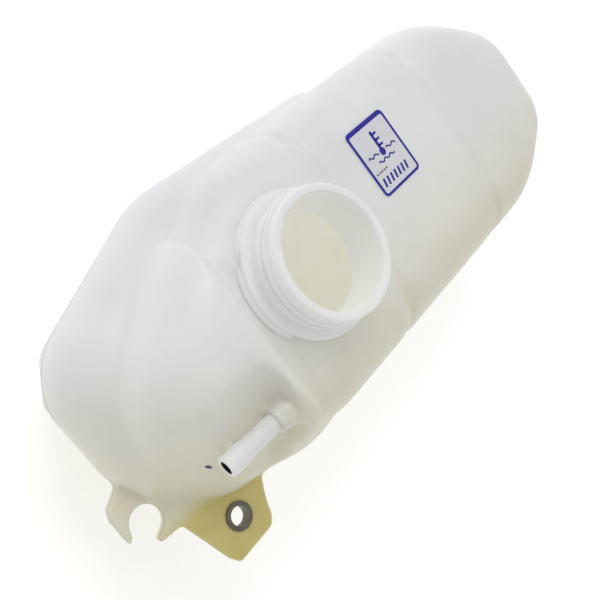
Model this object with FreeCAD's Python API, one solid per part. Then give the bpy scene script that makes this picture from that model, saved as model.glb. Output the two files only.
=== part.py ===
import FreeCAD, Part
import math
import os

from FreeCAD import Vector

# Coolant expansion tank of blow-moulded natural plastic, with an open screw neck.
# The origin is the centre of the neck's mouth, on the neck's axis.
# +Z is up, out of the neck. +X runs along the barrel to its far end.
# +Y is the plain side. The hose nipple, the lug and the notched foot are at -Y.
# All sizes are in millimetres.

# Wall and filler neck, whose screw thread is left to the scene
WALL = 3.0
NECK_RADIUS = 28.8
NECK_BORE_RADIUS = 25.2
NECK_HEIGHT = 20.0
BEAD_RADIUS = 33.2
BEAD_HEIGHT = 3.6

# Barrel, with its outline in plan as corners of X, Y and rounding radius
TANK_TOP = -NECK_HEIGHT
TANK_BOTTOM = -125.0
PARTING_Z = -66.0
SHOULDER_RADIUS = 30.0
BOTTOM_RADIUS = 28.0
BARREL_SIDE = 57.5
BARREL_LUG_SIDE = -64.3
BARREL_NEAR_END = -38.0
BARREL_FAR_END = 217.5
BARREL_SIDES = [
    (-18.0, BARREL_LUG_SIDE, 60.0),
    (169.0, BARREL_LUG_SIDE, 80.0),
    (BARREL_FAR_END, -38.0, 33.0),
    (BARREL_FAR_END, 26.5, 35.0),
    (168.0, BARREL_SIDE, 80.0),
    (-9.0, BARREL_SIDE, 60.0),
]
BARREL_OUTLINE = [(BARREL_NEAR_END, -59.5, 0.0)] + BARREL_SIDES + [(BARREL_NEAR_END, 45.0, 0.0)]
BARREL_CAVITY_OUTLINE = [(-62.0, -46.0, 0.0)] + BARREL_SIDES + [(-62.0, 30.0, 0.0)]

# Pinch grooves round the barrel, as place along X and depth
GROOVES = [(126.0, 1.8), (36.0, 1.6), (-33.5, 1.8)]
GROOVE_WIDTH = 9.0
GROOVE_FLOOR = 2.4
GROOVE_CLEARANCE = 5.0

# Domed near end of the barrel
DOME_TOP = -13.2
DOME_BOTTOM = -121.0
DOME_TOP_RADIUS = 33.0
DOME_BOTTOM_RADIUS = 20.0
DOME_FRONT = -37.5
DOME_FRONT_RADIUS = 11.0
DOME_FRONT_FOOT = -58.0
DOME_BURIED = -24.0
DOME_SIDES = [
    (-47.0, 43.0, 80.0),
    (-99.0, 12.0, 38.0),
    (-99.0, -46.0, 36.0),
    (-46.0, -60.5, 60.0),
]
DOME_OUTLINE = [(DOME_BURIED, -60.0, 0.0), (DOME_BURIED, 49.0, 0.0)] + DOME_SIDES
DOME_CAVITY_OUTLINE = [(8.0, -58.6, 0.0), (8.0, 57.0, 0.0)] + DOME_SIDES

# Wider lower bowl round the near end
BOWL_TOP = -37.0
BOWL_TOP_RADIUS = 28.0
BOWL_BOTTOM_RADIUS = 30.0
BOWL_FRONT = 88.0
BOWL_NEAR_END = -109.3
BOWL_OUTLINE = [
    (BOWL_FRONT, -60.0, 0.0),
    (BOWL_FRONT, 61.4, 0.0),
    (-22.0, 66.4, 60.0),
    (BOWL_NEAR_END, 34.0, 35.0),
    (BOWL_NEAR_END, -28.0, 60.0),
    (-84.0, -54.5, 38.0),
    (-30.0, -70.5, 60.0),
]

# Flat steps that stand for each rounding inside
CAVITY_STEPS = 3
CAVITY_CHORDS = 2
SMALLEST_ROUNDING = 2.0

# Flat faces that draw the near end in, as a point, a level direction and a slope from upright
NEAR_UNDERSIDE = (Vector(BOWL_NEAR_END, 0.0, PARTING_Z), 180.0, -20.0)
SIDE_UNDERSIDE = (Vector(-75.0, 47.4, PARTING_Z), 110.0, -8.5)
CORNER_UNDERSIDE = (Vector(-100.4, 34.4, PARTING_Z), 145.0, -15.0)
FOOT_UNDERSIDE = (Vector(-96.5, -39.5, -72.0), 225.0, -25.0)
FOOT_FALL = (Vector(-96.5, -39.5, PARTING_Z), 225.0, 30.0)
SLOPES = [NEAR_UNDERSIDE, SIDE_UNDERSIDE, CORNER_UNDERSIDE, FOOT_UNDERSIDE, FOOT_FALL]
HALF_SPACE = 400.0

# Sloped pocket that the hose nipple lies in
POCKET_WALL_X = -46.0
POCKET_RIM_Y = -13.0
POCKET_RIM_Z = -14.5
POCKET_SLOPE = 44.0
POCKET_CORNER_RADIUS = 9.0

# Small hose nipple
NIPPLE_ROOT = Vector(-38.0, -39.5, -27.0)
NIPPLE_TIP = Vector(-82.0, -37.6, -31.0)
NIPPLE_RADIUS = 4.1
NIPPLE_BEAD_RADIUS = 4.9
NIPPLE_BEAD_LENGTH = 9.0
NIPPLE_BORE_RADIUS = 3.1
NIPPLE_BORE_REACH = 18.0
NIPPLE_BOSS_RADIUS = 6.6
NIPPLE_BOSS_LENGTH = 17.0

# Large hose outlet, low on the far end
OUTLET_Y = -4.0
OUTLET_Z = -103.0
OUTLET_ROOT = 200.0
OUTLET_END = 238.0
OUTLET_RADIUS = 9.0
OUTLET_BEAD_RADIUS = 10.0
OUTLET_BEAD_LENGTH = 7.0
OUTLET_BORE_RADIUS = 7.0

# Flat lug and notched foot at the parting line
LUG_THICKNESS = 3.6
LUG_HOLE = Vector(-77.2, -67.8, PARTING_Z)
LUG_OUTLINE = [
    (-94.0, -40.0, 0.0),
    (-97.8, -52.0, 3.0),
    (-91.7, -77.5, 3.0),
    (-88.8, -82.8, 1.5),
    (-68.2, -83.0, 2.0),
    (-65.2, -79.8, 2.0),
    (-60.7, -69.9, 8.0),
    (-54.4, -60.0, 0.0),
    (-50.0, -50.0, 0.0),
]
FOOT_THICKNESS = 6.0
FOOT_OUTLINE = [
    (-92.0, -14.0, 0.0),
    (-107.0, -20.0, 0.0),
    (-116.3, -24.8, 2.0),
    (-118.0, -28.2, 2.0),
    (-118.3, -41.2, 1.0),
    (-108.2, -50.4, 1.0),
    (-97.4, -52.0, 0.0),
    (-88.0, -46.0, 0.0),
]
NOTCH_CENTRE = Vector(-108.0, -40.0, PARTING_Z)
NOTCH_RADIUS = 7.6
NOTCH_MOUTH = 11.6
NOTCH_DIRECTION = 225.0

# Pressed metal sleeve in the lug
SLEEVE_BORE_RADIUS = 4.3
SLEEVE_BODY_RADIUS = 5.3
SLEEVE_FLANGE_RADIUS = 6.4
SLEEVE_FLANGE = 0.8

# Film label on top of the barrel
LABEL_CENTRE_X = 74.3
LABEL_CENTRE_Y = 13.6
LABEL_ALONG = 30.4
LABEL_ACROSS = 35.0
LABEL_CORNER = 3.0
LABEL_THICKNESS = 0.25


def moved_inwards(corners, inset):
    """The corners of an outline whose sides have all moved inwards by the inset."""
    count = len(corners)
    area = 0.0
    for index in range(count):
        x, y, radius = corners[index]
        next_x, next_y, next_radius = corners[(index + 1) % count]
        area += x * next_y - next_x * y
    turn = math.copysign(1.0, area)
    moved = []
    for index in range(count):
        x, y, radius = corners[index]
        arriving = Vector(x - corners[index - 1][0], y - corners[index - 1][1], 0.0)
        leaving = Vector(corners[(index + 1) % count][0] - x, corners[(index + 1) % count][1] - y, 0.0)
        arriving.normalize()
        leaving.normalize()
        inward = (Vector(-arriving.y, arriving.x, 0.0) + Vector(-leaving.y, leaving.x, 0.0)) * turn
        reach = inset * 2.0 / inward.dot(inward)
        smallest = SMALLEST_ROUNDING if radius > 0.0 else 0.0
        moved.append((x + inward.x * reach, y + inward.y * reach, max(radius - inset, smallest)))
    return moved


def corner_bends(corners, z, steps):
    """The points of each corner's rounding at height z, in a number of equal steps."""
    count = len(corners)
    spots = [Vector(x, y, z) for x, y, radius in corners]
    bends = []
    for index in range(count):
        radius = corners[index][2]
        if radius == 0.0:
            bends.append([spots[index]])
            continue
        before = spots[index - 1] - spots[index]
        after = spots[(index + 1) % count] - spots[index]
        before.normalize()
        after.normalize()
        middle = before + after
        middle.normalize()
        half = before.getAngle(after) / 2.0
        centre = spots[index] + middle * (radius / math.sin(half))
        arm = spots[index] + before * (radius / math.tan(half)) - centre
        turn = math.copysign(math.pi - 2.0 * half, -before.cross(after).z)
        bend = []
        for step in range(steps + 1):
            angle = turn * step / steps
            swung = Vector(
                arm.x * math.cos(angle) - arm.y * math.sin(angle),
                arm.x * math.sin(angle) + arm.y * math.cos(angle), 0.0)
            bend.append(centre + swung)
        bends.append(bend)
    return bends


def outline_wire(corners, z):
    """A closed wire at height z through the corners, rounded by arcs."""
    bends = corner_bends(corners, z, 2)
    edges = []
    for index, bend in enumerate(bends):
        if len(bend) > 1:
            edges.append(Part.Arc(bend[0], bend[1], bend[2]).toShape())
        edges.append(Part.LineSegment(bend[-1], bends[(index + 1) % len(bends)][0]).toShape())
    return Part.Wire(edges)


def plate(corners, low_z, high_z):
    """A flat plate of the outline between two heights."""
    return Part.Face(outline_wire(corners, low_z)).extrude(Vector(0.0, 0.0, high_z - low_z))


def level_edges(solid, z, buried_x):
    """The edges of a solid that lie at height z, except those at its buried end."""
    edges = []
    for edge in solid.Edges:
        box = edge.BoundBox
        level = abs(box.ZMin - z) < 1e-4 and abs(box.ZMax - z) < 1e-4
        buried = box.XLength < 1e-4 and abs(box.XMin - buried_x) < 1e-4
        if level and not buried:
            edges.append(edge)
    return edges


def rounded_pad(corners, low_z, high_z, low_radius, high_radius, buried_x):
    """A plate whose upper and lower edges are rounded, except those at the buried end."""
    solid = plate(corners, low_z, high_z)
    solid = solid.makeFillet(high_radius, level_edges(solid, high_z, buried_x))
    return solid.makeFillet(low_radius, level_edges(solid, low_z, buried_x))


def flat_face(points):
    """A flat face through the points."""
    return Part.Face(Part.makePolygon(points + [points[0]]))


def stepped_pad(corners, low_z, high_z, low_radius, high_radius):
    """The inside of a rounded pad one wall in, with its roundings as a few flat steps."""
    rings = []
    for end_z, radius, way in ((low_z, low_radius, 1.0), (high_z, high_radius, -1.0)):
        inner_radius = radius - WALL
        group = []
        for step in range(CAVITY_STEPS + 1):
            angle = math.pi / 2.0 * step / CAVITY_STEPS
            z = end_z + way * (WALL + inner_radius * (1.0 - math.cos(angle)))
            inset = WALL + inner_radius * (1.0 - math.sin(angle))
            group.append(sum(corner_bends(moved_inwards(corners, inset), z, CAVITY_CHORDS), []))
        if way < 0.0:
            group.reverse()
        rings.extend(group)
    faces = [flat_face(rings[0]), flat_face(rings[-1])]
    for lower, upper in zip(rings, rings[1:]):
        for index in range(len(lower)):
            after = (index + 1) % len(lower)
            faces.append(flat_face([lower[index], lower[after], upper[after], upper[index]]))
    solid = Part.makeSolid(Part.makeShell(faces))
    if solid.Volume < 0.0:
        solid.reverse()
    return solid


def slope_tool(place, inset):
    """Everything outside a sloped flat face, which the inset moves inwards."""
    point, direction, slope = place
    block = Part.makeBox(HALF_SPACE, HALF_SPACE, HALF_SPACE, Vector(-inset, -HALF_SPACE / 2.0, -HALF_SPACE / 2.0))
    block.rotate(Vector(0.0, 0.0, 0.0), Vector(0.0, 1.0, 0.0), -slope)
    block.rotate(Vector(0.0, 0.0, 0.0), Vector(0.0, 0.0, 1.0), direction)
    block.translate(point)
    return block


def pocket_tool(inset):
    """The space of the nipple's pocket, grown by the inset."""
    slope = math.radians(POCKET_SLOPE)
    down = Vector(0.0, -math.cos(slope), -math.sin(slope))
    outward = Vector(0.0, -math.sin(slope), math.cos(slope))
    rim = Vector(POCKET_WALL_X + inset, POCKET_RIM_Y, POCKET_RIM_Z) - outward * inset
    top = rim - down * 60.0
    length = 180.0
    face = Part.Face(Part.makePolygon([
        top,
        top + down * length,
        top + down * length + outward * length,
        top + outward * length,
        top,
    ]))
    block = face.extrude(Vector(-200.0, 0.0, 0.0))
    corner = [edge for edge in block.Edges
              if abs(edge.BoundBox.XMin - rim.x) < 1e-4 and abs(edge.BoundBox.XMax - rim.x) < 1e-4
              and edge.BoundBox.isInside(rim)]
    return block.makeFillet(POCKET_CORNER_RADIUS - inset, corner)


def rod(start, end, radius):
    """A round rod from one point to another."""
    way = end - start
    return Part.makeCylinder(radius, way.Length, start, way)


def barrel_section(x, grown, chords=0):
    """The barrel's cross-section at X = x, grown outwards, with arcs or a few chords."""
    low_y = BARREL_LUG_SIDE
    high_y = BARREL_SIDE
    edges = []
    bends = [
        (high_y - SHOULDER_RADIUS, TANK_TOP - SHOULDER_RADIUS, SHOULDER_RADIUS, 0.0),
        (low_y + SHOULDER_RADIUS, TANK_TOP - SHOULDER_RADIUS, SHOULDER_RADIUS, 90.0),
        (low_y + BOTTOM_RADIUS, TANK_BOTTOM + BOTTOM_RADIUS, BOTTOM_RADIUS, 180.0),
        (high_y - BOTTOM_RADIUS, TANK_BOTTOM + BOTTOM_RADIUS, BOTTOM_RADIUS, 270.0),
    ]
    points = []
    steps = chords or 2
    for y, z, radius, start in bends:
        bend = []
        for step in range(steps + 1):
            way = math.radians(start + 90.0 * step / steps)
            bend.append(Vector(x, y + (radius + grown) * math.cos(way), z + (radius + grown) * math.sin(way)))
        points.append(bend)
    for index in range(4):
        bend = points[index]
        if chords:
            for first, second in zip(bend, bend[1:]):
                edges.append(Part.LineSegment(first, second).toShape())
        else:
            edges.append(Part.Arc(bend[0], bend[1], bend[2]).toShape())
        edges.append(Part.LineSegment(bend[-1], points[(index + 1) % 4][0]).toShape())
    return Part.Wire(edges)


def groove_tool(x, depth, inset=0.0, chords=0):
    """A ring round the barrel whose bevelled inside cuts the groove, or its fold inside the wall."""
    start = x - GROOVE_WIDTH / 2.0
    ring = Part.Face(barrel_section(start, GROOVE_CLEARANCE, chords)).extrude(Vector(GROOVE_WIDTH, 0.0, 0.0))
    core = Part.makeLoft([
        barrel_section(start, -inset, chords),
        barrel_section(x - GROOVE_FLOOR / 2.0, -depth - inset, chords),
        barrel_section(x + GROOVE_FLOOR / 2.0, -depth - inset, chords),
        barrel_section(x + GROOVE_WIDTH / 2.0, -inset, chords),
    ], True, True)
    return ring.cut(core)


def barrel():
    """The barrel with its pinch grooves."""
    solid = rounded_pad(BARREL_OUTLINE, TANK_BOTTOM, TANK_TOP, BOTTOM_RADIUS, SHOULDER_RADIUS, BARREL_NEAR_END)
    return solid.cut([groove_tool(x, depth) for x, depth in GROOVES])


def dome_front_tool(inset):
    """The space in front of the dome, under which its front is rounded."""
    face = DOME_FRONT - inset
    top = DOME_TOP - inset
    foot_z = DOME_FRONT_FOOT - inset
    space = Part.makeBox(100.0, 300.0, 20.0 - foot_z, Vector(face - 20.0, -150.0, foot_z))
    roller = Part.makeBox(20.0, 300.0, 60.0, Vector(face - 20.0, -150.0, top - 60.0))
    edge = [edge for edge in roller.Edges
            if abs(edge.BoundBox.XMin - face) < 1e-4 and abs(edge.BoundBox.ZMin - top) < 1e-4
            and edge.BoundBox.YLength > 200.0]
    return space.cut(roller.makeFillet(DOME_FRONT_RADIUS - inset, edge))


def dome():
    """The domed near end, with a rounded front that rises out of the last groove."""
    solid = rounded_pad(DOME_OUTLINE, DOME_BOTTOM, DOME_TOP, DOME_BOTTOM_RADIUS, DOME_TOP_RADIUS, DOME_BURIED)
    return solid.cut(dome_front_tool(0.0))


def bowl():
    """The wider lower part round the near end."""
    return rounded_pad(BOWL_OUTLINE, TANK_BOTTOM, BOWL_TOP, BOWL_BOTTOM_RADIUS, BOWL_TOP_RADIUS, BOWL_FRONT)


def neck():
    """The neck with its base bead, solid until the bore is cut."""
    profile = [(0.0, 0.0), (NECK_RADIUS, 0.0)]
    bead_middle = TANK_TOP + BEAD_HEIGHT * 0.4
    profile.append((NECK_RADIUS, bead_middle + BEAD_HEIGHT / 2.0))
    profile.append((BEAD_RADIUS, bead_middle))
    profile.append((BEAD_RADIUS, TANK_TOP - WALL))
    profile.append((0.0, TANK_TOP - WALL))
    points = [Vector(radius, 0.0, z) for radius, z in profile]
    face = Part.Face(Part.makePolygon(points + [points[0]]))
    return face.revolve(Vector(0.0, 0.0, 0.0), Vector(0.0, 0.0, 1.0), 360.0)


def nipple():
    """The small hose nipple with its boss and tip bead."""
    way = NIPPLE_TIP - NIPPLE_ROOT
    way.normalize()
    stem = rod(NIPPLE_ROOT, NIPPLE_TIP, NIPPLE_RADIUS)
    boss = rod(NIPPLE_ROOT, NIPPLE_ROOT + way * NIPPLE_BOSS_LENGTH, NIPPLE_BOSS_RADIUS)
    bead = rod(NIPPLE_TIP - way * NIPPLE_BEAD_LENGTH, NIPPLE_TIP, NIPPLE_BEAD_RADIUS)
    return [stem, boss, bead]


def outlet():
    """The large hose outlet on the far end."""
    start = Vector(OUTLET_ROOT, OUTLET_Y, OUTLET_Z)
    end = Vector(OUTLET_END, OUTLET_Y, OUTLET_Z)
    bead_start = Vector(OUTLET_END - OUTLET_BEAD_LENGTH, OUTLET_Y, OUTLET_Z)
    return [rod(start, end, OUTLET_RADIUS), rod(bead_start, end, OUTLET_BEAD_RADIUS)]


def lug():
    """The flat lug with the sleeve's hole."""
    solid = plate(LUG_OUTLINE, PARTING_Z - LUG_THICKNESS, PARTING_Z)
    below = LUG_HOLE - Vector(0.0, 0.0, 2.0 * LUG_THICKNESS)
    above = LUG_HOLE + Vector(0.0, 0.0, LUG_THICKNESS)
    return solid.cut(rod(below, above, SLEEVE_BODY_RADIUS))


def foot():
    """The flat foot with its round notch, open to one corner."""
    solid = plate(FOOT_OUTLINE, PARTING_Z - FOOT_THICKNESS, PARTING_Z)
    below = NOTCH_CENTRE - Vector(0.0, 0.0, 2.0 * FOOT_THICKNESS)
    above = NOTCH_CENTRE + Vector(0.0, 0.0, FOOT_THICKNESS)
    mouth = Part.makeBox(30.0, NOTCH_MOUTH, 3.0 * FOOT_THICKNESS, Vector(0.0, -NOTCH_MOUTH / 2.0, 0.0))
    mouth.rotate(Vector(0.0, 0.0, 0.0), Vector(0.0, 0.0, 1.0), NOTCH_DIRECTION)
    mouth.translate(below)
    return solid.cut([rod(below, above, NOTCH_RADIUS), mouth])


def hollow():
    """The space inside the tank and the bores that lead to it."""
    barrel_space = stepped_pad(BARREL_CAVITY_OUTLINE, TANK_BOTTOM, TANK_TOP, BOTTOM_RADIUS, SHOULDER_RADIUS)
    folds = [groove_tool(x, depth, WALL, CAVITY_STEPS) for x, depth in GROOVES]
    dome_space = stepped_pad(DOME_CAVITY_OUTLINE, DOME_BOTTOM, DOME_TOP, DOME_BOTTOM_RADIUS, DOME_TOP_RADIUS)
    bowl_space = stepped_pad(BOWL_OUTLINE, TANK_BOTTOM, BOWL_TOP, BOWL_BOTTOM_RADIUS, BOWL_TOP_RADIUS)
    inside = barrel_space.cut(folds).fuse([dome_space.cut(dome_front_tool(WALL)), bowl_space])
    tools = [slope_tool(place, WALL) for place in SLOPES]
    inside = inside.cut(tools + [pocket_tool(WALL)])
    way = NIPPLE_ROOT - NIPPLE_TIP
    way.normalize()
    neck_bore = rod(Vector(0.0, 0.0, TANK_TOP - 2.0 * WALL), Vector(0.0, 0.0, 5.0), NECK_BORE_RADIUS)
    nipple_bore = rod(NIPPLE_TIP - way * 5.0, NIPPLE_ROOT + way * NIPPLE_BORE_REACH, NIPPLE_BORE_RADIUS)
    outlet_start = Vector(OUTLET_ROOT, OUTLET_Y, OUTLET_Z)
    outlet_end = Vector(OUTLET_END + 5.0, OUTLET_Y, OUTLET_Z)
    return inside, [neck_bore, nipple_bore, rod(outlet_start, outlet_end, OUTLET_BORE_RADIUS)]


def tank_body():
    """The whole moulding: outer forms joined, near end drawn in, then hollowed."""
    outside = barrel().fuse([dome(), bowl()])
    tools = [slope_tool(place, 0.0) for place in SLOPES]
    outside = outside.cut(tools + [pocket_tool(0.0)])
    outside = outside.fuse([neck(), lug(), foot()] + nipple() + outlet())
    inside, bores = hollow()
    return outside.cut([inside] + bores).removeSplitter()


def lug_sleeve():
    """The pressed metal sleeve, flanged above and below the lug."""
    top = LUG_HOLE + Vector(0.0, 0.0, SLEEVE_FLANGE)
    bottom = LUG_HOLE - Vector(0.0, 0.0, LUG_THICKNESS + SLEEVE_FLANGE)
    lug_bottom = LUG_HOLE - Vector(0.0, 0.0, LUG_THICKNESS)
    body = rod(bottom, top, SLEEVE_BODY_RADIUS)
    body = body.fuse([rod(bottom, lug_bottom, SLEEVE_FLANGE_RADIUS), rod(LUG_HOLE, top, SLEEVE_FLANGE_RADIUS)])
    return body.cut(rod(bottom, top, SLEEVE_BORE_RADIUS)).removeSplitter()


def coolant_label():
    """The film label, bent over the start of the barrel's shoulder."""
    low_x = LABEL_CENTRE_X - LABEL_ALONG / 2.0
    high_x = LABEL_CENTRE_X + LABEL_ALONG / 2.0
    low_y = LABEL_CENTRE_Y - LABEL_ACROSS / 2.0
    high_y = LABEL_CENTRE_Y + LABEL_ACROSS / 2.0
    corners = [(x, y, LABEL_CORNER) for x, y in ((low_x, low_y), (high_x, low_y), (high_x, high_y), (low_x, high_y))]
    shape = plate(corners, TANK_TOP - 10.0, TANK_TOP + 10.0)
    run = Vector(LABEL_ALONG + 10.0, 0.0, 0.0)
    over = Part.Face(barrel_section(low_x - 5.0, LABEL_THICKNESS)).extrude(run)
    under = Part.Face(barrel_section(low_x - 5.0, 0.0)).extrude(run)
    return shape.common(over.cut(under))


os.makedirs("parts", exist_ok=True)
for name, make in (("tank_body", tank_body), ("lug_sleeve", lug_sleeve), ("coolant_label", coolant_label)):
    make().exportStep("parts/" + name + ".step")
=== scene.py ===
import math

import bmesh
import bpy
import numpy as np
from mathutils import Matrix, Vector
from mathutils.bvhtree import BVHTree

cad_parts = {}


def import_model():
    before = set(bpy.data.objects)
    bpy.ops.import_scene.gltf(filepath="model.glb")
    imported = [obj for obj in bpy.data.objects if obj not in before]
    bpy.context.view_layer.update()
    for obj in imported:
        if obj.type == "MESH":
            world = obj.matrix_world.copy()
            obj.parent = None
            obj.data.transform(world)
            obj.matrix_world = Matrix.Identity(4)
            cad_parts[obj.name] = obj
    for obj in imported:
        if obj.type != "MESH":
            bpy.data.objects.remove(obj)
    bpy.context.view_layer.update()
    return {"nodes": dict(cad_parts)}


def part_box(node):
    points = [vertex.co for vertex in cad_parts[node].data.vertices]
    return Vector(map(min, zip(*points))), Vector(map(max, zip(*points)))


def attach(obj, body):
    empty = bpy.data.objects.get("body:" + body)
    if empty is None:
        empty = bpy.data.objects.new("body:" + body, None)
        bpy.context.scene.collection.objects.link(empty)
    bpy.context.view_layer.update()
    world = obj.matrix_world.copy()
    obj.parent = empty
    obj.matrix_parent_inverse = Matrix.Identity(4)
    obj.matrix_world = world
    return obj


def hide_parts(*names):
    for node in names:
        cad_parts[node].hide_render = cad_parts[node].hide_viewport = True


# Looks of the coolant expansion tank, in metres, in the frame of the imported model.
# The origin is the centre of the neck's mouth, +Z is out of the neck, +X runs along the barrel.

MM = 0.001

# Sizes that follow the part's source
PARTING_Z = -66.0 * MM
LUG_THICKNESS = 3.6 * MM
FOOT_THICKNESS = 6.0 * MM
NECK_RADIUS = 28.8 * MM
NECK_BORE_RADIUS = 25.2 * MM
NECK_LOW_Z = -23.0 * MM
BEAD_RADIUS = 33.2 * MM
GROOVE_PLACES = [126.0 * MM, 36.0 * MM, -33.5 * MM]
BOWL_FRONT = 88.0 * MM
NIPPLE_ROOT = Vector((-38.0, -39.5, -27.0)) * MM
NIPPLE_TIP = Vector((-82.0, -37.6, -31.0)) * MM
OUTLET_ROOT = Vector((200.0, -4.0, -103.0)) * MM
OUTLET_TIP = Vector((238.0, -4.0, -103.0)) * MM
LABEL_LOW = Vector((59.1, -3.9)) * MM
LABEL_SIZE = Vector((30.4, 35.0)) * MM
LABEL_TOP = -19.75 * MM
SHOULDER_RADIUS = 30.0 * MM
SHOULDER_START_Y = 27.5 * MM
SHOULDER_CENTRE_Z = -50.0 * MM
FILM_THICKNESS = 0.25 * MM

# Middle levels of the lug and the foot
LUG_Z = PARTING_Z - LUG_THICKNESS / 2.0
FOOT_Z = PARTING_Z - FOOT_THICKNESS / 2.0

# Edges past which the blending leaves the lug, the foot, the bowl's step and the far end sharper
LUG_EDGE_X = -58.0 * MM
LUG_EDGE_Y = -56.0 * MM
FOOT_EDGE_X = -104.0 * MM
BOWL_EDGE_Y = 56.0 * MM
FAR_EDGE_X = 165.0 * MM

# Height of the print over the film
PRINT_HEIGHT = 0.05 * MM

# Pen mark on the near end
INK_MARK = Vector((-82.0, -36.1, -44.0)) * MM
INK_MARK_WAY = Vector((2.1, -3.3, -1.4)).normalized()
INK_MARK_LONG = 1.9 * MM
INK_MARK_WIDE = 0.9 * MM
INK_MARK_HEIGHT = 0.06 * MM

# Shell of the moulding
SHELL_VOXEL = 1.0 * MM
SHELL_TRIANGLES = 170000
BLEND_ROUNDS = 34
BLEND_VOXEL = 1.0 * MM
BLEND_STEP = 0.6
LEAST_ROUNDS = 8

# Least free view across the tank of a face that counts as inside, and the reach of the look
INSIDE_VIEW = 35.0 * MM
INSIDE_REACH = 0.5

# Height at which the turned neck takes over from the shell, and how far it covers the wall
NECK_JOIN_Z = -17.5 * MM
NECK_COVER = 0.1 * MM
NECK_BORE_COVER = 0.3 * MM

# Ridge of the mould's parting line, as the radius of its bead
PARTING_RIDGE = 0.24 * MM

# Radii of the turned nipple
NIPPLE_STEM = 4.2 * MM
NIPPLE_BEAD = 5.0 * MM
NIPPLE_BORE = 3.05 * MM
NIPPLE_MID_WALL = 3.6 * MM

# Where the shell's own stem starts, and how far it reaches out
STEM_START = (15.6 * MM, 17.4 * MM)
STEM_REACH = (5.1 * MM, 6.4 * MM)

# Share that stays of the stem's wall, and how far its tip is drawn back
STEM_WALL_LEFT = 0.3
TIP_TUCK = 0.6 * MM

# Where the boss narrows to its end, how far it reaches out, and by which share it narrows
BOSS_RUN = (11.0 * MM, 15.8 * MM)
BOSS_REACH = (6.9 * MM, 9.0 * MM)
BOSS_TAPER = 0.16

# Radii of the turned outlet
OUTLET_STEM = 9.1 * MM
OUTLET_BEAD = 10.1 * MM
OUTLET_BORE = 6.9 * MM

# Thread
THREAD_PITCH = 4.4 * MM
THREAD_TURNS = 2.3
THREAD_TOP = -3.4 * MM
THREAD_HEIGHT = 1.2 * MM
THREAD_WIDTH = 2.5 * MM
THREAD_RUN_OUT = 0.10

# Scales of the fine grain and the slow waviness in the moulded surface
GRAIN_SCALE = 900.0
WAVINESS_SCALE = 45.0

# Starts and ends of the smooth steps in which the plastic turns yellow
LUG_TONE_X = (-0.050, -0.062)
LUG_TONE_Y = (-0.044, -0.055)
LUG_TONE_TOP = (-0.060, -0.066)
LUG_TONE_BASE = (-0.082, -0.071)
FOOT_TONE_X = (-0.100, -0.112)
PRONG_TONE_X = (-0.098, -0.106)
PRONG_TONE_Y = (-0.042, -0.050)

# Share of a printed stroke's width that is left at its ends
STROKE_END = 0.55

# Camera
CAMERA_PLACE = Vector((-0.1898, 0.0498, 0.2367))
CAMERA_FORWARD = Vector((0.554, -0.185, -0.812))
CAMERA_RIGHT = Vector((0.590, -0.600, 0.540))
CAMERA_LENS = 45.94
CAMERA_SENSOR = 36.0

# Floor and light
FLOOR_HALF = 4.0
FLOOR_GAP = 0.2 * MM
FLOOR_GLOW = 0.35
WORLD_LIGHT = 0.57
KEY_PLACE = (0.30, 0.85, 0.95)
KEY_TARGET = (0.03, 0.0, -0.06)
KEY_SIZE = 0.7
KEY_POWER = 4.3
TOP_PLACE = (0.3, -0.1, 1.2)
TOP_TARGET = (0.05, 0.0, -0.06)
TOP_SIZE = 0.9
TOP_POWER = 1.5

# Light that the milky wall lets through, as a faint glow
INSIDE_GLOW = 0.22
FITTING_GLOW = 0.085
NECK_GLOW = 0.17


def linear(red, green, blue):
    """A colour in linear light from its eight-bit values."""
    values = []
    for part in (red, green, blue):
        share = part / 255.0
        values.append(share / 12.92 if share <= 0.04045 else ((share + 0.055) / 1.055) ** 2.4)
    return (values[0], values[1], values[2], 1.0)


# Shader nodes and finishes
class Wiring:
    """Short calls for the shader nodes used here."""

    def __init__(self, tree):
        self.nodes = tree.nodes
        self.links = tree.links

    def put(self, socket, value):
        """Sets a socket to a constant, or links it to another socket."""
        if isinstance(value, bpy.types.NodeSocket):
            self.links.new(value, socket)
        elif value is not None:
            socket.default_value = value

    def math(self, operation, first, second=None, third=None):
        node = self.nodes.new("ShaderNodeMath")
        node.operation = operation
        for socket, value in zip(node.inputs, (first, second, third)):
            self.put(socket, value)
        return node.outputs[0]

    def parts(self, vector):
        node = self.nodes.new("ShaderNodeSeparateXYZ")
        self.put(node.inputs[0], vector)
        return node.outputs

    def ramp(self, value, low, high, low_out=0.0, high_out=1.0):
        """A smooth step from one value to another."""
        node = self.nodes.new("ShaderNodeMapRange")
        node.interpolation_type = "SMOOTHSTEP"
        for socket, given in zip(node.inputs, (value, low, high, low_out, high_out)):
            self.put(socket, given)
        return node.outputs[0]

    def noise(self, vector, scale, detail=3.0):
        node = self.nodes.new("ShaderNodeTexNoise")
        self.put(node.inputs["Vector"], vector)
        self.put(node.inputs["Scale"], scale)
        node.inputs["Detail"].default_value = detail
        return node.outputs["Fac"]

    def mix(self, factor, first, second):
        """A colour between two colours."""
        node = self.nodes.new("ShaderNodeMix")
        node.data_type = "RGBA"
        self.put(node.inputs[0], factor)
        self.put(node.inputs[6], first)
        self.put(node.inputs[7], second)
        return node.outputs[2]


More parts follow.
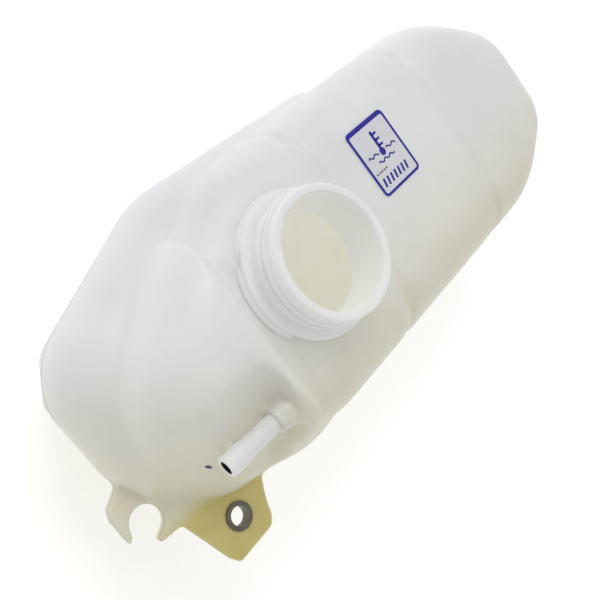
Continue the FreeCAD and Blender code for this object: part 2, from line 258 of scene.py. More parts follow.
class Finish(Wiring):
    """A material round one Principled shader."""

    def __init__(self, name):
        self.material = bpy.data.materials.new(name)
        self.material.use_nodes = True
        super().__init__(self.material.node_tree)
        self.nodes.clear()
        output = self.nodes.new("ShaderNodeOutputMaterial")
        self.shader = self.nodes.new("ShaderNodeBsdfPrincipled")
        self.links.new(self.shader.outputs[0], output.inputs[0])
        self.place = self.nodes.new("ShaderNodeTexCoord").outputs["Object"]

    def wear(self, group, **values):
        """The shared wear of the surface, with this finish's own values."""
        node = self.nodes.new("ShaderNodeGroup")
        node.node_tree = group
        self.links.new(self.place, node.inputs["Place"])
        for name, value in values.items():
            node.inputs[name.replace("_", " ").title()].default_value = value
        return node.outputs

    def bump(self, height, strength, distance):
        node = self.nodes.new("ShaderNodeBump")
        self.put(node.inputs["Height"], height)
        node.inputs["Strength"].default_value = strength
        node.inputs["Distance"].default_value = distance
        self.links.new(node.outputs[0], self.shader.inputs["Normal"])


def surface_wear():
    """The cloudy tone, speckle, uneven gloss and fine grain that the part's finishes share."""
    group = bpy.data.node_groups.new("surface_wear", "ShaderNodeTree")
    group.interface.new_socket(name="Place", in_out="INPUT", socket_type="NodeSocketVector")
    for name in ("Cloud Scale", "Speckle Scale", "Least Roughness", "Most Roughness"):
        group.interface.new_socket(name=name, in_out="INPUT", socket_type="NodeSocketFloat")
    for name in ("Cloud", "Speckle", "Roughness", "Height"):
        group.interface.new_socket(name=name, in_out="OUTPUT", socket_type="NodeSocketFloat")
    wiring = Wiring(group)
    given = group.nodes.new("NodeGroupInput").outputs
    result = group.nodes.new("NodeGroupOutput").inputs
    speckle = wiring.noise(given["Place"], given["Speckle Scale"], 4.0)
    grain = wiring.noise(given["Place"], GRAIN_SCALE, 2.0)
    waviness = wiring.noise(given["Place"], WAVINESS_SCALE, 2.0)
    wiring.put(result["Cloud"], wiring.noise(given["Place"], given["Cloud Scale"]))
    wiring.put(result["Speckle"], speckle)
    roughness = wiring.ramp(speckle, 0.3, 0.7, given["Least Roughness"], given["Most Roughness"])
    wiring.put(result["Roughness"], roughness)
    wiring.put(result["Height"], wiring.math("MULTIPLY_ADD", waviness, 6.0, grain))
    return group


def tank_plastic(name, wear, glow=0.0, most_shade=1.0):
    """Milky natural polypropylene with painted shade that makes it darker and warmer below, towards -Y
    and past the near end, away from the key light; yellow at the lug and foot; a given glow is painted
    light.
    """
    finish = Finish(name)
    x, y, z = finish.parts(finish.place)
    worn = finish.wear(wear, cloud_scale=14.0, speckle_scale=70.0,
                       least_roughness=0.34, most_roughness=0.46)
    cloud = worn["Cloud"]
    fine = finish.ramp(worn["Speckle"], 0.3, 0.7)
    white = finish.mix(finish.ramp(cloud, 0.35, 0.65), linear(228, 229, 231), linear(236, 236, 237))
    shade_tone = finish.mix(fine, linear(224, 221, 198), linear(229, 226, 208))
    # Painted shade: the tone turns darker and warmer towards -Y, lower down and past the near end, on the
    # sides that face away from the key light.
    lean = finish.math("MULTIPLY_ADD", y, -1.0, finish.math("MULTIPLY", z, -0.35))
    beyond = finish.math("MAXIMUM", finish.math("SUBTRACT", -0.050, x), 0.0)
    lean = finish.math("MULTIPLY_ADD", beyond, 0.4, lean)
    shade_share = finish.ramp(finish.math("MULTIPLY_ADD", cloud, 0.012, lean), 0.0, 0.085, 0.0, most_shade)
    body = finish.mix(shade_share, white, shade_tone)
    yellow = finish.mix(fine, linear(203, 192, 118), linear(212, 200, 130))
    lug_plan = finish.math("MULTIPLY", finish.ramp(y, *LUG_TONE_Y), finish.ramp(x, *LUG_TONE_X))
    lug_level = finish.math("MULTIPLY", finish.ramp(z, *LUG_TONE_TOP), finish.ramp(z, *LUG_TONE_BASE))
    lug = finish.math("MULTIPLY", lug_plan, lug_level)
    foot = finish.ramp(x, *FOOT_TONE_X, high_out=0.03)
    prong_y = finish.ramp(y, *PRONG_TONE_Y, high_out=0.35)
    prong = finish.math("MULTIPLY", finish.ramp(x, *PRONG_TONE_X), prong_y)
    thin = finish.math("MAXIMUM", lug, finish.math("MAXIMUM", foot, prong))
    finish.put(finish.shader.inputs["Base Color"], finish.mix(thin, body, yellow))
    finish.put(finish.shader.inputs["Roughness"], worn["Roughness"])
    finish.shader.inputs["IOR"].default_value = 1.49
    finish.shader.inputs["Subsurface Weight"].default_value = 0.35
    finish.shader.inputs["Subsurface Radius"].default_value = (1.0, 0.95, 0.8)
    finish.shader.inputs["Subsurface Scale"].default_value = 0.006
    # Painted light: a faint glow that stands for the light the milky wall lets through.
    if glow > 0.0:
        finish.shader.inputs["Emission Color"].default_value = linear(229, 228, 217)
        finish.shader.inputs["Emission Strength"].default_value = glow
    finish.bump(worn["Height"], strength=0.12, distance=0.4 * MM)
    return finish.material


def plain(name, wear, colour, roughness, metallic=0.0, speckle=0.06):
    """A plain finish with slight wear in its tone and gloss."""
    finish = Finish(name)
    worn = finish.wear(wear, cloud_scale=40.0, speckle_scale=120.0,
                       least_roughness=roughness, most_roughness=roughness + 0.12)
    dark = tuple(part * (1.0 - 2.0 * speckle) for part in colour[:3]) + (1.0,)
    tone = finish.mix(finish.ramp(worn["Speckle"], 0.3, 0.7), dark, colour)
    finish.put(finish.shader.inputs["Base Color"], tone)
    finish.put(finish.shader.inputs["Roughness"], worn["Roughness"])
    finish.shader.inputs["Metallic"].default_value = metallic
    return finish.material


# Pieces
def mesh_piece(name, points, faces, material):
    """An object of the given points and faces, riding on the tank."""
    mesh = bpy.data.meshes.new(name)
    mesh.from_pydata([tuple(point) for point in points], [], faces)
    mesh.update()
    mesh.shade_smooth()
    return place_piece(name, mesh, material)


def place_piece(name, mesh, material):
    """An object of the mesh, riding on the tank."""
    piece = bpy.data.objects.new(name, mesh)
    bpy.context.scene.collection.objects.link(piece)
    mesh.materials.clear()
    mesh.materials.append(material)
    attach(piece, "root")
    return piece


def baked(piece):
    """The piece's mesh with its modifiers applied."""
    bpy.context.view_layer.update()
    graph = bpy.context.evaluated_depsgraph_get()
    return bpy.data.meshes.new_from_object(piece.evaluated_get(graph))


# Geometry nodes
class Shapes:
    """A tree of geometry nodes with named inputs for its sizes."""

    def __init__(self, name, sizes):
        self.group = bpy.data.node_groups.new(name, "GeometryNodeTree")
        self.values = {}
        for size, value in sizes.items():
            kind = "NodeSocketInt" if isinstance(value, int) else "NodeSocketFloat"
            socket = self.group.interface.new_socket(name=size, in_out="INPUT", socket_type=kind)
            self.values[socket.identifier] = value
        self.group.interface.new_socket(name="Mesh", in_out="OUTPUT", socket_type="NodeSocketGeometry")
        self.given = self.group.nodes.new("NodeGroupInput").outputs

    def add(self, kind, inputs, **settings):
        """A node with its named inputs set or linked, as its first output."""
        node = self.group.nodes.new(kind)
        for name, value in settings.items():
            setattr(node, name, value)
        for name, value in inputs.items():
            if isinstance(value, bpy.types.NodeSocket):
                self.group.links.new(value, node.inputs[name])
            else:
                node.inputs[name].default_value = value
        return node.outputs[0]

    def piece(self, name, mesh, material):
        """The finished tree's mesh as an object that rides on the tank."""
        real = self.add("GeometryNodeRealizeInstances", {"Geometry": mesh})
        painted = self.add("GeometryNodeSetMaterial", {"Geometry": real, "Material": material})
        self.group.links.new(painted, self.group.nodes.new("NodeGroupOutput").inputs[0])
        holder = bpy.data.objects.new("holder", bpy.data.meshes.new("holder"))
        bpy.context.scene.collection.objects.link(holder)
        modifier = holder.modifiers.new("shapes", "NODES")
        modifier.node_group = self.group
        for identifier, value in self.values.items():
            modifier[identifier] = value
        result = baked(holder)
        bpy.data.objects.remove(holder)
        return place_piece(name, result, material)


# Meshes
def remeshed(node, voxel):
    """A mesh of even small faces in the place of a CAD node."""
    source = node.data.copy()
    work = bmesh.new()
    work.from_mesh(source)
    bmesh.ops.remove_doubles(work, verts=work.verts, dist=1e-7)
    work.to_mesh(source)
    work.free()
    holder = bpy.data.objects.new("holder", source)
    bpy.context.scene.collection.objects.link(holder)
    modifier = holder.modifiers.new("remesh", "REMESH")
    modifier.mode = "VOXEL"
    modifier.voxel_size = voxel
    mesh = baked(holder)
    bpy.data.objects.remove(holder)
    return mesh


def thinned(mesh, triangles):
    """The mesh with its flatter parts in larger triangles."""
    mesh.calc_loop_triangles()
    count = len(mesh.loop_triangles)
    if count <= triangles:
        return mesh
    holder = bpy.data.objects.new("holder", mesh)
    bpy.context.scene.collection.objects.link(holder)
    modifier = holder.modifiers.new("thin", "DECIMATE")
    modifier.ratio = triangles / count
    result = baked(holder)
    bpy.data.objects.remove(holder)
    return result


def step(values, low, high):
    """A smooth step of an array from 0 to 1."""
    share = np.clip((values - low) / (high - low), 0.0, 1.0)
    return share * share * (3.0 - 2.0 * share)


def distance_to_line(points, start, end):
    """How far each point is from a straight piece between two points."""
    start = np.array(start)
    way = np.array(end) - start
    share = np.clip((points - start) @ way / (way @ way), 0.0, 1.0)
    return np.linalg.norm(points - start - share[:, None] * way, axis=1)


def held(distance, near, far, least):
    """A weight that is least within the near distance and 1 past the far one, both in millimetres."""
    return least + (1.0 - least) * step(distance, near * MM, far * MM)


def blend_weights(points):
    """How freely each point may move when the mould's roundings are blended."""
    x, y, z = points.T
    near_neck = np.maximum(np.hypot(x, y) - BEAD_RADIUS, NECK_LOW_Z - z)
    nipple_start = NIPPLE_ROOT + Vector((-0.012, 0.0, 0.0))
    outlet_end = OUTLET_TIP + Vector((0.02, 0.0, 0.0))
    near_nipple = distance_to_line(points, nipple_start, NIPPLE_TIP)
    near_outlet = distance_to_line(points, OUTLET_ROOT, outlet_end)
    near_lug = np.maximum(np.abs(z - LUG_Z) - LUG_THICKNESS / 2.0, y - LUG_EDGE_Y)
    near_lug = np.maximum(near_lug, x - LUG_EDGE_X)
    near_foot = np.maximum(x - FOOT_EDGE_X, np.abs(z - FOOT_Z) - FOOT_THICKNESS / 2.0 - 1.0 * MM)
    near_bowl_front = np.hypot(x - BOWL_FRONT, np.maximum(0.0, BOWL_EDGE_Y - np.abs(y)))
    weights = held(near_neck, 0.5, 6.0, 0.06)
    weights *= held(near_nipple, 6.8, 11.0, 0.05)
    weights *= held(near_outlet, 11.0, 15.0, 0.05)
    weights *= held(near_lug, 0.5, 7.0, 0.05)
    weights *= held(near_foot, 0.0, 8.0, 0.05)
    weights *= held(near_bowl_front, 6.0, 13.0, 0.04)
    weights *= held(FAR_EDGE_X - x, 0.0, 20.0, 0.25)
    for groove in GROOVE_PLACES:
        weights *= held(np.abs(x - groove), 4.0, 9.0, 0.10)
    return weights


def vertex_places(mesh):
    """The mesh's vertices as rows of an array."""
    points = np.empty(len(mesh.vertices) * 3)
    mesh.vertices.foreach_get("co", points)
    return points.reshape(-1, 3)


def blended(mesh, voxel):
    """Blends the roundings of the mesh into each other, as a blown wall does."""
    points = vertex_places(mesh)
    count = len(points)
    edges = np.empty(len(mesh.edges) * 2, dtype=np.int64)
    mesh.edges.foreach_get("vertices", edges)
    first, second = edges.reshape(-1, 2).T
    neighbours = np.bincount(first, minlength=count) + np.bincount(second, minlength=count)
    weights = blend_weights(points)
    rounds = max(LEAST_ROUNDS, round(BLEND_ROUNDS * (BLEND_VOXEL / voxel) ** 2))
    for _ in range(rounds):
        average = np.empty_like(points)
        for axis in range(3):
            column = points[:, axis]
            total = np.bincount(first, column[second], count)
            total += np.bincount(second, column[first], count)
            average[:, axis] = total / neighbours
        points += weights[:, None] * BLEND_STEP * (average - points)
    mesh.vertices.foreach_set("co", points.ravel())
    mesh.update()


def lathe(name, start, way, profile, material, segments=96):
    """A turned piece from a closed profile of distances along the axis and radii."""
    way = way.normalized()
    side = way.orthogonal().normalized()
    other = way.cross(side)
    points = []
    for turn in range(segments):
        angle = 2.0 * math.pi * turn / segments
        arm = side * math.cos(angle) + other * math.sin(angle)
        for along, radius in profile:
            points.append(start + way * along + arm * radius)
    faces = []
    rings = len(profile)
    for turn in range(segments):
        after = (turn + 1) % segments
        for ring in range(rings):
            following = (ring + 1) % rings
            here = turn * rings
            there = after * rings
            faces.append((here + ring, there + ring, there + following, here + following))
    piece = mesh_piece(name, points, faces, material)
    work = bmesh.new()
    work.from_mesh(piece.data)
    bmesh.ops.recalc_face_normals(work, faces=work.faces)
    work.to_mesh(piece.data)
    work.free()
    return piece


def rounded_profile(corners, steps=5):
    """A closed profile whose corners of place, radius and rounding are rounded."""
    result = []
    count = len(corners)
    for index in range(count):
        spot = Vector(corners[index][:2])
        rounding = corners[index][2]
        if rounding == 0.0:
            result.append(tuple(spot))
            continue
        before = (Vector(corners[index - 1][:2]) - spot).normalized()
        after = (Vector(corners[(index + 1) % count][:2]) - spot).normalized()
        half = before.angle(after) / 2.0
        reach = rounding / math.tan(half)
        start = spot + before * reach
        end = spot + after * reach
        for stage in range(steps + 1):
            share = stage / steps
            rest = 1.0 - share
            result.append(tuple(start * rest ** 2 + spot * 2.0 * share * rest + end * share ** 2))
    return result


# Tank shell and the fittings on it
def mark_inside(mesh):
    """Gives the second material to the faces that look across the tank's inside."""
    work = bmesh.new()
    work.from_mesh(mesh)
    tree = BVHTree.FromBMesh(work)
    work.free()
    for face in mesh.polygons:
        start = face.center + face.normal * 0.5 * MM
        hit = tree.ray_cast(start, face.normal, INSIDE_REACH)
        if hit[0] is not None and hit[3] > INSIDE_VIEW:
            face.material_index = 1


def outline_at(shell, level):
    """The shell's outer outline at a level, as a closed loop of points."""
    work = bmesh.new()
    work.from_mesh(shell.data)
    parts = work.verts[:] + work.edges[:] + work.faces[:]
    cut = bmesh.ops.bisect_plane(
        work, geom=parts, plane_co=(0.0, 0.0, level), plane_no=(0.0, 0.0, 1.0), dist=1e-8)["geom_cut"]
    edges = dict.fromkeys(item for item in cut if isinstance(item, bmesh.types.BMEdge))
    loops = []
    while edges:
        edge = next(iter(edges))
        del edges[edge]
        loop = [edge.verts[0], edge.verts[1]]
        following = [item for item in loop[-1].link_edges if item in edges]
        while following:
            del edges[following[0]]
            loop.append(following[0].other_vert(loop[-1]))
            following = [item for item in loop[-1].link_edges if item in edges]
        loops.append([vertex.co.copy() for vertex in loop])
    work.free()
    return max(loops, key=lambda loop: max(point.x for point in loop) - min(point.x for point in loop))


def make_parting_line(shell, material):
    """The fine ridge that the mould halves leave round the tank."""
    outline = outline_at(shell, LUG_Z)
    curve = bpy.data.curves.new("parting_line", "CURVE")
    curve.dimensions = "3D"
    curve.bevel_depth = PARTING_RIDGE
    curve.bevel_resolution = 2
    spline = curve.splines.new("POLY")
    spline.points.add(len(outline) - 2)
    for point, place in zip(spline.points, outline[:-1]):
        point.co = (place.x, place.y, place.z, 1.0)
    spline.use_cyclic_u = True
    holder = bpy.data.objects.new("holder", curve)
    bpy.context.scene.collection.objects.link(holder)
    mesh = baked(holder)
    bpy.data.objects.remove(holder)
    mesh.shade_smooth()
    place_piece("parting_line", mesh, material)


def without_neck(mesh):
    """Takes away the shell's own neck, which has a turned piece in its place."""
    work = bmesh.new()
    work.from_mesh(mesh)
    reach = NECK_RADIUS + 1.5 * MM
    gone = [vertex for vertex in work.verts
            if vertex.co.z > NECK_JOIN_Z and math.hypot(vertex.co.x, vertex.co.y) < reach]
    bmesh.ops.delete(work, geom=gone, context="VERTS")
    work.to_mesh(mesh)
    work.free()


def tuck_nipple(mesh):
    """Tapers the nipple's boss, and draws the shell's own stem into the turned stem's wall."""
    points = vertex_places(mesh)
    root = np.array(NIPPLE_ROOT)
    way = np.array((NIPPLE_TIP - NIPPLE_ROOT).normalized())
    length = (NIPPLE_TIP - NIPPLE_ROOT).length
    along = (points - root) @ way
    arms = points - root - along[:, None] * way
    radii = np.linalg.norm(arms, axis=1)
    stem = step(along, *STEM_START)
    free = 1.0 - step(radii, *STEM_REACH)
    wall = NIPPLE_MID_WALL + STEM_WALL_LEFT * (radii - NIPPLE_MID_WALL)
    changed = radii + stem * free * (wall - radii)
    on_boss = 1.0 - step(radii, *BOSS_REACH)
    boss = step(along, *BOSS_RUN) * (1.0 - stem) * on_boss
    changed *= 1.0 - BOSS_TAPER * boss
    beyond = step(along, length - 1.4 * MM, length - 0.2 * MM) * free
    inside = (along > 0.0) & (along < length + 2.0 * MM) & (radii > 0.1 * MM)
    scale = np.where(inside, changed / np.maximum(radii, 1e-9), 1.0)
    shift = np.where(inside, beyond * TIP_TUCK, 0.0)
    points = root + (along - shift)[:, None] * way + arms * scale[:, None]
    mesh.vertices.foreach_set("co", points.ravel())
    mesh.update()


def make_shell(frame, material, inside):
    """The moulding itself, in the place of the CAD node."""
    voxel = SHELL_VOXEL
    mesh = remeshed(frame["nodes"]["tank_body"], voxel)
    blended(mesh, voxel)
    without_neck(mesh)
    tuck_nipple(mesh)
    mesh = thinned(mesh, SHELL_TRIANGLES)
    mesh.shade_smooth()
    shell = place_piece("tank_shell", mesh, material)
    mesh.materials.append(inside)
    mark_inside(mesh)
    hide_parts("tank_body")
    return shell


def make_neck(material, inside):
    """The neck's rim, wall and base bead, with moulded roundings."""
    outer = NECK_RADIUS + NECK_COVER
    bore = NECK_BORE_RADIUS - NECK_BORE_COVER
    bead = BEAD_RADIUS + NECK_COVER
    profile = rounded_profile([
        (0.0, bore, 1.3 * MM),
        (0.0, outer, 1.1 * MM),
        (-16.9 * MM, outer, 0.6 * MM),
        (-17.6 * MM, bead, 0.9 * MM),
        (-19.4 * MM, bead, 0.9 * MM),
        (-20.3 * MM, bead + 1.6 * MM, 0.0),
        (-21.6 * MM, bead + 1.6 * MM, 0.0),
        (-23.2 * MM, bore, 0.4 * MM),
    ])
    upwards = Vector((0.0, 0.0, 1.0))
    piece = lathe("neck_wall", Vector((0.0, 0.0, 0.0)), upwards, profile, material, 160)
    piece.data.materials.append(inside)
    for face in piece.data.polygons:
        if math.hypot(face.center.x, face.center.y) < bore + 0.1 * MM:
            face.material_index = 1


def make_thread(material):
    """The screw thread, one rounded right-hand ridge wound up the neck and run out at both ends."""
    tree = Shapes("thread_tree", {
        "Neck Radius": NECK_RADIUS,
        "Turns": THREAD_TURNS,
        "Steps": 96,
        "Rise": THREAD_PITCH * THREAD_TURNS,
        "Lowest": THREAD_TOP - THREAD_PITCH * THREAD_TURNS,
        "Ridge Height": THREAD_HEIGHT,
        "Ridge Half Width": THREAD_WIDTH / 2.0,
        "Run Out": THREAD_RUN_OUT,
    })
    given = tree.given
    spiral = tree.add("GeometryNodeCurveSpiral", {
        "Resolution": given["Steps"], "Rotations": given["Turns"], "Start Radius": given["Neck Radius"],
        "End Radius": given["Neck Radius"], "Height": given["Rise"]})
    upright = tree.add("GeometryNodeSetCurveNormal", {"Curve": spiral}, mode="Z_UP")
    lowest = tree.add("ShaderNodeCombineXYZ", {"Z": given["Lowest"]})
    path = tree.add("GeometryNodeTransform", {"Geometry": upright, "Translation": lowest})
    share = tree.add("GeometryNodeSplineParameter", {})
    left = tree.add("ShaderNodeMath", {0: 1.0, 1: share}, operation="SUBTRACT")
    nearer = tree.add("ShaderNodeMath", {0: share, 1: left}, operation="MINIMUM")
    fade = tree.add("ShaderNodeMapRange", {"Value": nearer, "From Max": given["Run Out"], "To Min": 0.08},
                    interpolation_type="SMOOTHSTEP")
    circle = tree.add("GeometryNodeCurvePrimitiveCircle", {"Resolution": 14, "Radius": 1.0})
    flattened = tree.add("ShaderNodeCombineXYZ", {
        "X": given["Ridge Height"], "Y": given["Ridge Half Width"], "Z": 1.0})
    section = tree.add("GeometryNodeTransform", {"Geometry": circle, "Scale": flattened})
    ridge = tree.add("GeometryNodeCurveToMesh", {
        "Curve": path, "Profile Curve": section, "Scale": fade, "Fill Caps": True})
    smooth = tree.add("GeometryNodeSetShadeSmooth", {"Geometry": ridge})
    tree.piece("neck_thread", smooth, material)


def make_nipple(material, dark):
    """The small hose nipple's stem, with its tip bead and its bore in near-black painted shade."""
    way = (NIPPLE_TIP - NIPPLE_ROOT).normalized()
    length = (NIPPLE_TIP - NIPPLE_ROOT).length
    profile = rounded_profile([
        (2.0 * MM, NIPPLE_BORE, 0.0),
        (2.0 * MM, NIPPLE_STEM, 0.0),
        (length - 12.5 * MM, NIPPLE_STEM, 2.0 * MM),
        (length - 7.5 * MM, NIPPLE_BEAD, 2.2 * MM),
        (length, NIPPLE_BEAD - 0.2 * MM, 0.7 * MM),
        (length, NIPPLE_BORE, 0.3 * MM),
        (length - 0.6 * MM, NIPPLE_BORE, 0.0),
    ])
    piece = lathe("hose_nipple", NIPPLE_ROOT, way, profile, material, 64)
    piece.data.materials.append(dark)
    for face in piece.data.polygons:
        centre = face.center - NIPPLE_ROOT
        along = centre.dot(way)
        radius = (centre - way * along).length
        if radius < NIPPLE_BORE + 0.15 * MM and along < length - 0.4 * MM:
            face.material_index = 1


def make_outlet(material):
    """The large hose outlet on the far end."""
    length = (OUTLET_TIP - OUTLET_ROOT).length
    profile = rounded_profile([
        (8.0 * MM, OUTLET_BORE, 0.0),
        (8.0 * MM, 13.0 * MM, 0.0),
        (17.6 * MM, 12.0 * MM, 1.0 * MM),
        (19.6 * MM, OUTLET_STEM, 2.0 * MM),
        (length - 8.6 * MM, OUTLET_STEM, 1.0 * MM),
        (length - 6.9 * MM, OUTLET_BEAD, 0.8 * MM),
        (length, OUTLET_BEAD - 0.5 * MM, 0.8 * MM),
        (length, OUTLET_BORE, 0.6 * MM),
    ])
    piece = lathe("hose_outlet", OUTLET_ROOT, OUTLET_TIP - OUTLET_ROOT, profile, material, 80)


def make_ink_mark(shell, ink):
    """The small pen mark beside the nipple, laid on the shell."""
    work = bmesh.new()
    work.from_mesh(shell.data)
    tree = BVHTree.FromBMesh(work)
    work.free()
    centre, normal, _, _ = tree.find_nearest(INK_MARK)
    along = (INK_MARK_WAY - normal * INK_MARK_WAY.dot(normal)).normalized()
    across = normal.cross(along)
    spots = [centre]
    faces = []
    rings = 3
    segments = 24
    lift = 3.0 * MM
    for ring in range(1, rings + 1):
        for turn in range(segments):
            angle = 2.0 * math.pi * turn / segments
            arm = along * (math.cos(angle) * INK_MARK_LONG)
            arm += across * (math.sin(angle) * INK_MARK_WIDE)
            spots.append(centre + arm * (ring / rings))
    points = []
    for spot in spots:
        place = tree.ray_cast(spot + normal * lift, -normal)[0]
        points.append((place if place is not None else spot) + normal * INK_MARK_HEIGHT)
    for turn in range(segments):
        after = (turn + 1) % segments
        faces.append((0, 1 + turn, 1 + after))
        for ring in range(rings - 1):
            low = 1 + ring * segments
            high = low + segments
            faces.append((low + turn, high + turn, high + after, low + after))
    return mesh_piece("ink_mark", points, faces, ink)


# Label and its print
def label_point(across, up, height):
    """A point on the label from its reading corner, at a height over the film."""
    x = LABEL_LOW.x + across
    y = LABEL_LOW.y + up
    z = LABEL_TOP
    if y > SHOULDER_START_Y:
        radius = SHOULDER_RADIUS + FILM_THICKNESS
        z = SHOULDER_CENTRE_Z + math.sqrt(radius ** 2 - (y - SHOULDER_START_Y) ** 2)
    return (x, y, z + height)


def rounded_box(low, high, rounding, steps=8):
    """The corners of a rounded rectangle, anticlockwise."""
    result = []
    centres = [(high[0] - rounding, high[1] - rounding), (low[0] + rounding, high[1] - rounding),
               (low[0] + rounding, low[1] + rounding), (high[0] - rounding, low[1] + rounding)]
    for corner, centre in enumerate(centres):
        for stage in range(steps + 1):
            angle = math.pi / 2.0 * (corner + stage / steps)
            across = centre[0] + rounding * math.cos(angle)
            result.append((across, centre[1] + rounding * math.sin(angle)))
    return result


def print_border(ink):
    """The label's rounded frame, thicker along its upper edge."""
    gap = 0.12 * MM
    width, height = LABEL_SIZE
    outer = rounded_box((gap, gap), (width - gap, height - gap), 2.7 * MM)
    inner_low = (gap + 1.6 * MM, gap + 1.3 * MM)
    inner_high = (width - gap - 1.4 * MM, height - gap - 2.3 * MM)
    inner = rounded_box(inner_low, inner_high, 1.3 * MM)
    count = len(outer)
    points = [label_point(across, up, PRINT_HEIGHT) for across, up in outer + inner]
    faces = []
    for index in range(count):
        after = (index + 1) % count
        faces.append((index, after, count + after, count + index))
    return mesh_piece("label_border", points, faces, ink)


def stroke_faces(line, width, points, faces):
    """Adds a ribbon of a width along a line of label places."""
    low = len(points)
    for index, (across, up) in enumerate(line):
        before = line[max(index - 1, 0)]
        after = line[min(index + 1, len(line) - 1)]
        way = Vector((after[0] - before[0], after[1] - before[1])).normalized()
        side = Vector((-way.y, way.x)) * (width / 2.0)
        end = index in (0, len(line) - 1)
        side *= STROKE_END if end else 1.0
        points.append(label_point(across + side.x, up + side.y, PRINT_HEIGHT))
        points.append(label_point(across - side.x, up - side.y, PRINT_HEIGHT))
    for index in range(len(line) - 1):
        corner = low + 2 * index
        faces.append((corner, corner + 1, corner + 3, corner + 2))


def straight(start, end, width):
    """A line whose ends narrow over a short way."""
    start = Vector(start) * MM
    end = Vector(end) * MM
    way = (end - start).normalized() * min(width * 0.35, (end - start).length * 0.3)
    return [tuple(start), tuple(start + way), tuple(end - way), tuple(end)]


def wave(start, end, level, swing, period):
    """A wavy line at a level of the label."""
    steps = 40
    line = []
    for index in range(steps + 1):
        across = start + (end - start) * index / steps
        up = level + swing * math.sin(2.0 * math.pi * (across - start) / period)
        line.append((across * MM, up * MM))
    return line


def print_symbol(ink):
    """A thermometer that stands in the waves."""
    points = []
    faces = []
    tube = 1.8 * MM
    mark = 1.2 * MM
    stroke_faces(straight((15.4, 29.3), (15.4, 18.0), tube), tube, points, faces)
    for level in (27.3, 24.3, 21.3):
        stroke_faces(straight((15.6, level), (18.9, level), mark), mark, points, faces)
    low = len(points)
    corners = 24
    for index in range(corners):
        angle = 2.0 * math.pi * index / corners
        across = (15.4 + 1.95 * math.cos(angle)) * MM
        up = (18.2 + 2.1 * math.sin(angle)) * MM
        points.append(label_point(across, up, PRINT_HEIGHT + 0.01 * MM))
    faces.append(tuple(range(low, low + corners)))
    return mesh_piece("label_symbol", points, faces, ink)


def print_waves(ink):
    """The three wavy lines of the liquid."""
    points = []
    faces = []
    for start, end, level in ((4.4, 12.4, 18.9), (18.6, 26.2, 18.3), (8.9, 21.8, 14.6)):
        line = wave(start, end, level, swing=0.55, period=4.3)
        stroke_faces(line, 0.8 * MM, points, faces)
    return mesh_piece("label_waves", points, faces, ink)


def print_dashes(name, first, count, pitch, size, lean, ink):
    """A row of plain dashes, with its places and sizes in millimetres on the label."""
    tree = Shapes(name + "_tree", {
        "First X": LABEL_LOW.x + first[0] * MM,
        "First Y": LABEL_LOW.y + first[1] * MM,
        "Level": LABEL_TOP + PRINT_HEIGHT,
        "Count": count,
        "Pitch": pitch * MM,
        "Length": size[0] * MM,
        "Width": size[1] * MM,
        "Lean": math.radians(lean),
    })
    given = tree.given
    start = tree.add("ShaderNodeCombineXYZ", {
        "X": given["First X"], "Y": given["First Y"], "Z": given["Level"]})
    offset = tree.add("ShaderNodeCombineXYZ", {"X": given["Pitch"]})
    turn = tree.add("ShaderNodeCombineXYZ", {"Z": given["Lean"]})
    row = tree.add("GeometryNodeMeshLine", {
        "Count": given["Count"], "Start Location": start, "Offset": offset})
    dash = tree.add("GeometryNodeMeshGrid", {
        "Size X": given["Length"], "Size Y": given["Width"], "Vertices X": 2, "Vertices Y": 2})
    dashes = tree.add("GeometryNodeInstanceOnPoints", {
        "Points": row, "Instance": dash, "Rotation": turn})
    return tree.piece(name, dashes, ink)


# Camera, light and floor
def make_camera():
    """The photograph's view."""
    data = bpy.data.cameras.new("camera")
    data.lens = CAMERA_LENS
    data.sensor_width = CAMERA_SENSOR
    data.clip_start = 0.01
    data.clip_end = 20.0
    camera = bpy.data.objects.new("camera", data)
    bpy.context.scene.collection.objects.link(camera)
    forward = CAMERA_FORWARD.normalized()
    right = (CAMERA_RIGHT - forward * CAMERA_RIGHT.dot(forward)).normalized()
    up = right.cross(forward)
    turn = Matrix((right, up, -forward)).transposed().to_4x4()
    camera.matrix_world = Matrix.Translation(CAMERA_PLACE) @ turn
    bpy.context.scene.camera = camera


def area_light(name, spot, target, size, power):
    """A soft white square light that faces a target."""
    data = bpy.data.lights.new(name, "AREA")
    data.size = size
    data.energy = power
    light = bpy.data.objects.new(name, data)
    bpy.context.scene.collection.objects.link(light)
    light.location = spot
    light.rotation_mode = "QUATERNION"
    light.rotation_quaternion = (Vector(target) - Vector(spot)).to_track_quat("-Z", "Y")


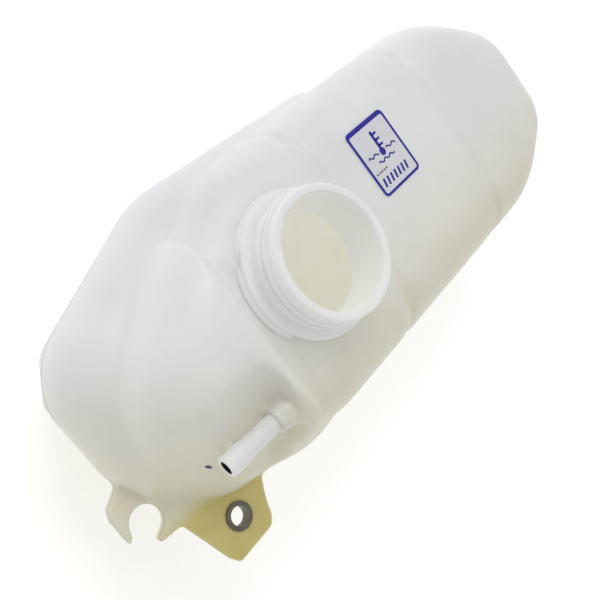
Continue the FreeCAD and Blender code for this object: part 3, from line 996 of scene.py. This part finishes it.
def make_surroundings():
    """The pale floor, plain background and soft lights."""
    scene = bpy.context.scene
    world = bpy.data.worlds.new("world")
    world.use_nodes = True
    world.node_tree.nodes["Background"].inputs[0].default_value = (1.0, 1.0, 1.0, 1.0)
    world.node_tree.nodes["Background"].inputs[1].default_value = WORLD_LIGHT
    scene.world = world
    scene.view_settings.view_transform = "Standard"
    scene.view_settings.look = "None"
    finish = Finish("floor_white")
    patches = finish.noise(finish.place, 6.0, 2.0)
    tone = finish.mix(patches, (0.93, 0.93, 0.93, 1.0), (0.95, 0.95, 0.95, 1.0))
    finish.put(finish.shader.inputs["Base Color"], tone)
    finish.shader.inputs["Roughness"].default_value = 0.9
    finish.shader.inputs["Specular IOR Level"].default_value = 0.1
    finish.shader.inputs["Emission Color"].default_value = (1.0, 1.0, 1.0, 1.0)
    finish.shader.inputs["Emission Strength"].default_value = FLOOR_GLOW
    half = FLOOR_HALF
    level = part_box("tank_body")[0].z - FLOOR_GAP
    corners = [(-half, -half, level), (half, -half, level), (half, half, level), (-half, half, level)]
    mesh = bpy.data.meshes.new("floor")
    mesh.from_pydata(corners, [], [(0, 1, 2, 3)])
    mesh.materials.append(finish.material)
    floor = bpy.data.objects.new("floor", mesh)
    scene.collection.objects.link(floor)
    area_light("key_light", KEY_PLACE, KEY_TARGET, KEY_SIZE, KEY_POWER)
    area_light("top_light", TOP_PLACE, TOP_TARGET, TOP_SIZE, TOP_POWER)


def main():
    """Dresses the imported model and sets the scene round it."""
    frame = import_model()
    wear = surface_wear()
    plastic = tank_plastic("tank_plastic", wear)
    # Painted light: the tank's inside and the neck's bore glow faintly for light through the milky wall,
    # and the fittings glow faintly to look brighter.
    inside = tank_plastic("tank_inside", wear, glow=INSIDE_GLOW, most_shade=0.45)
    glowing_fitting_plastic = tank_plastic("fitting_plastic", wear, glow=FITTING_GLOW, most_shade=0.1)
    bright = tank_plastic("neck_inside", wear, glow=NECK_GLOW, most_shade=0.2)
    dark = plain("bore_shade", wear, linear(16, 15, 14), 0.6)
    steel = plain("sleeve_steel", wear, linear(116, 112, 100), 0.36, metallic=0.9, speckle=0.15)
    film = plain("label_film", wear, linear(224, 224, 229), 0.30, speckle=0.02)
    blue = plain("print_blue", wear, linear(26, 20, 158), 0.35, speckle=0.08)
    thin_blue = plain("print_thin_blue", wear, linear(50, 42, 150), 0.35, speckle=0.08)
    violet = plain("pen_violet", wear, linear(72, 62, 120), 0.5, speckle=0.1)
    grey = plain("print_grey", wear, linear(98, 98, 100), 0.4, speckle=0.08)
    shell = make_shell(frame, plastic, inside)
    make_parting_line(shell, plastic)
    make_ink_mark(shell, violet)
    make_neck(glowing_fitting_plastic, bright)
    make_thread(glowing_fitting_plastic)
    make_nipple(glowing_fitting_plastic, dark)
    make_outlet(glowing_fitting_plastic)
    for name, material in (("lug_sleeve", steel), ("coolant_label", film)):
        materials = frame["nodes"][name].data.materials
        materials.clear()
        materials.append(material)
    wide_dashes = print_dashes(
        "label_wide_dashes", (4.75, 6.1), count=7, pitch=3.1, size=(4.3, 1.4), lean=76.0, ink=blue)
    fine_dashes = print_dashes(
        "label_dashes", (3.7, 11.2), count=5, pitch=1.9, size=(1.3, 0.8), lean=0.0, ink=grey)
    print_pieces = [print_border(blue), print_symbol(blue), print_waves(thin_blue)]
    make_surroundings()
    make_camera()


main()
